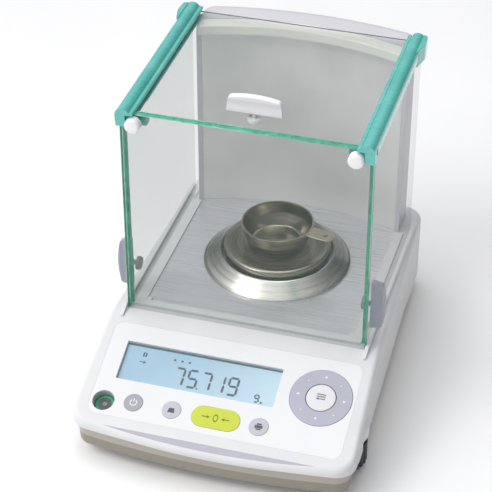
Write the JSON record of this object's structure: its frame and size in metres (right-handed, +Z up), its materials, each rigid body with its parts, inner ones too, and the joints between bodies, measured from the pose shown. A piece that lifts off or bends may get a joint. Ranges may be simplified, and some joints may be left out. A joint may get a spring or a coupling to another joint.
{
  "type": "analytical balance",
  "caption": "Analytical balance with a sliding glass draught shield, round pan and bowl in a draught ring, and a sloping panel with display and keys.",
  "frame": {"origin": "centre of the bounding box's underside, on the table under the middle of the base", "axes": "+X to the right seen from the key panel, +Y from the key panel to the column, +Z up"},
  "size_m": [0.206, 0.291, 0.245],
  "materials": {
    "cover_white": "fine textured moulding",
    "base_taupe": "satin powder coat",
    "trim_lavender": "satin",
    "overlay_film": "satin film",
    "display_clear": "clear",
    "lcd": "backlit",
    "board_green": "solder mask",
    "silicone": "matt",
    "ribbon": "satin",
    "level_grey": "satin",
    "level_liquid": "clear",
    "frame_white": "satin",
    "floor_steel": "brushed",
    "wall_grey": "satin",
    "cap_cream": "satin",
    "shield_glass": "clear",
    "rail_teal": "translucent",
    "foot_rubber": "matt",
    "connector_black": "satin",
    "plated_steel": "zinc plated",
    "cell_alloy": "milled",
    "magnet_steel": "nickel",
    "copper": "enamelled wire",
    "pan_steel": "brushed",
    "ring_steel": "spun",
    "bowl_steel": "polished",
    "handle_grey": "satin",
    "knob_white": "satin",
    "key_dark": "satin",
    "key_lavender": "satin",
    "key_lime": "satin",
    "key_white": "satin",
    "washer_nylon": "satin",
    "wheel_black": "fluted"
  },
  "bodies": {
    "housing": {"upper_case": "cover_white", "lower_case": "base_taupe", "front_trim": "trim_lavender", "panel_overlay": "overlay_film", "display_window": "display_clear", "lcd_module": "lcd", "keypad_board": "board_green", "key_domes": "silicone", "main_board": "board_green", "ribbon_cable": "ribbon", "level_cup": "level_grey", "level_vial": "level_liquid", "chamber_frame": "frame_white", "floor_plate": "floor_steel", "rear_wall": "wall_grey", "column_cover": "cover_white", "column_cap": "cap_cream", "front_glass": "shield_glass", "left_rail": "rail_teal", "right_rail": "rail_teal", "rear_feet": "foot_rubber", "dc_jack": "connector_black", "serial_port": "plated_steel", "case_screws": "plated_steel", "cell_block": "cell_alloy", "magnet_pot": "magnet_steel"},
    "weighing_end": {"load_receiver": "cell_alloy", "pan_spindle": "plated_steel"},
    "force_lever": {"lever_arm": "cell_alloy", "force_coil": "copper"},
    "pan": {"pan": "pan_steel", "pan_hub": "cell_alloy"},
    "draft_ring": {"draft_ring": "ring_steel"},
    "bowl": {"bowl": "bowl_steel"},
    "left_door": {"left_door_glass": "shield_glass", "left_door_handle": "handle_grey", "left_door_nut": "knob_white"},
    "right_door": {"right_door_glass": "shield_glass", "right_door_handle": "handle_grey", "right_door_nut": "knob_white"},
    "top_door": {"top_door_glass": "shield_glass", "top_door_handle": "knob_white", "top_door_nut": "knob_white"},
    "power_key": {"power_key": "key_dark"},
    "cal_key": {"cal_key": "key_lavender"},
    "zero_key": {"zero_key": "key_lime"},
    "print_key": {"print_key": "key_lavender"},
    "enter_key": {"enter_key": "key_white"},
    "nav_pivot": {"nav_pivot": "silicone"},
    "nav_ring": {"nav_ring": "key_lavender"},
    "left_washer": {"left_washer": "washer_nylon"},
    "right_washer": {"right_washer": "washer_nylon"},
    "left_thumbscrew": {"left_thumbscrew": "knob_white"},
    "right_thumbscrew": {"right_thumbscrew": "knob_white"},
    "left_foot_pad": {"left_foot_pad": "foot_rubber"},
    "right_foot_pad": {"right_foot_pad": "foot_rubber"},
    "left_foot_wheel": {"left_foot_wheel": "wheel_black"},
    "right_foot_wheel": {"right_foot_wheel": "wheel_black"}
  },
  "joints": [
    {"name": "left_door_slide", "type": "slide", "parent": "housing", "child": "left_door", "axis": [0, 1, 0], "range_m": [0, 0.105]},
    {"name": "right_door_slide", "type": "slide", "parent": "housing", "child": "right_door", "axis": [0, 1, 0], "range_m": [0, 0.105]},
    {"name": "top_door_slide", "type": "slide", "parent": "housing", "child": "top_door", "axis": [0, 1, 0], "range_m": [0, 0.105]},
    {"name": "pan_load", "type": "slide", "parent": "housing", "child": "weighing_end", "axis": [0, 0, 1], "range_m": [-0.0005, 0], "stiffness_N_per_m": 4000, "springref_m": 0.0012},
    {"name": "lever_turn", "type": "hinge", "parent": "housing", "child": "force_lever", "pos_m": [0, 0.062, 0.054], "axis": [1, 0, 0], "range_deg": [0, 2.5]},
    {"name": "pan_lift", "type": "slide", "parent": "weighing_end", "child": "pan", "axis": [0, 0, 1], "range_m": [0, 0.03]},
    {"name": "bowl_lift", "type": "slide", "parent": "pan", "child": "bowl", "axis": [0, 0, 1], "range_m": [0, 0.06]},
    {"name": "ring_lift", "type": "slide", "parent": "housing", "child": "draft_ring", "axis": [0, 0, 1], "range_m": [0, 0.015]},
    {"name": "power_press", "type": "slide", "parent": "housing", "child": "power_key", "axis": [0, 0.3665, -0.9304], "range_m": [0, 0.0006], "stiffness_N_per_m": 100, "springref_m": -0.003},
    {"name": "cal_press", "type": "slide", "parent": "housing", "child": "cal_key", "axis": [0, 0.3665, -0.9304], "range_m": [0, 0.0006], "stiffness_N_per_m": 100, "springref_m": -0.003},
    {"name": "zero_press", "type": "slide", "parent": "housing", "child": "zero_key", "axis": [0, 0.3665, -0.9304], "range_m": [0, 0.0006], "stiffness_N_per_m": 100, "springref_m": -0.003},
    {"name": "print_press", "type": "slide", "parent": "housing", "child": "print_key", "axis": [0, 0.3665, -0.9304], "range_m": [0, 0.0006], "stiffness_N_per_m": 100, "springref_m": -0.003},
    {"name": "enter_press", "type": "slide", "parent": "housing", "child": "enter_key", "axis": [0, 0.3665, -0.9304], "range_m": [0, 0.0006], "stiffness_N_per_m": 100, "springref_m": -0.003},
    {"name": "nav_sideways", "type": "hinge", "parent": "housing", "child": "nav_pivot", "pos_m": [0.0675, -0.08678, 0.04647], "axis": [0, 0.9304, 0.3665], "range_deg": [-1.5, 1.5], "stiffness_Nm_per_rad": 0.05},
    {"name": "nav_up_down", "type": "hinge", "parent": "nav_pivot", "child": "nav_ring", "pos_m": [0.0675, -0.08824, 0.0502], "axis": [1, 0, 0], "range_deg": [-1.5, 1.5], "stiffness_Nm_per_rad": 0.05},
    {"name": "left_screw_out", "type": "slide", "parent": "housing", "child": "left_washer", "axis": [0, -1, 0], "range_m": [0, 0.0014]},
    {"name": "left_screw_turn", "type": "hinge", "parent": "left_washer", "child": "left_thumbscrew", "pos_m": [-0.077, -0.047, 0.2258], "axis": [0, -1, 0], "range_deg": [0, 720]},
    {"name": "right_screw_out", "type": "slide", "parent": "housing", "child": "right_washer", "axis": [0, -1, 0], "range_m": [0, 0.0014]},
    {"name": "right_screw_turn", "type": "hinge", "parent": "right_washer", "child": "right_thumbscrew", "pos_m": [0.077, -0.047, 0.2258], "axis": [0, -1, 0], "range_deg": [0, 720]},
    {"name": "left_foot_rise", "type": "slide", "parent": "housing", "child": "left_foot_pad", "axis": [0, 0, 1], "range_m": [-0.0026, 0.0026]},
    {"name": "left_foot_turn", "type": "hinge", "parent": "left_foot_pad", "child": "left_foot_wheel", "pos_m": [-0.0845, -0.092, 0.012], "axis": [0, 0, 1], "range_deg": [-900, 900]},
    {"name": "right_foot_rise", "type": "slide", "parent": "housing", "child": "right_foot_pad", "axis": [0, 0, 1], "range_m": [-0.0026, 0.0026]},
    {"name": "right_foot_turn", "type": "hinge", "parent": "right_foot_pad", "child": "right_foot_wheel", "pos_m": [0.0845, -0.092, 0.012], "axis": [0, 0, 1], "range_deg": [-900, 900]}
  ],
  "couplings": [
    {"joint": "lever_turn", "follows": "pan_load", "rad_per_m": -83.333},
    {"joint": "left_screw_turn", "follows": "left_screw_out", "rad_per_m": 8976},
    {"joint": "right_screw_turn", "follows": "right_screw_out", "rad_per_m": 8976},
    {"joint": "left_foot_rise", "follows": "left_foot_turn", "m_per_rad": 0.00015915},
    {"joint": "right_foot_rise", "follows": "right_foot_turn", "m_per_rad": 0.00015915}
  ]
}
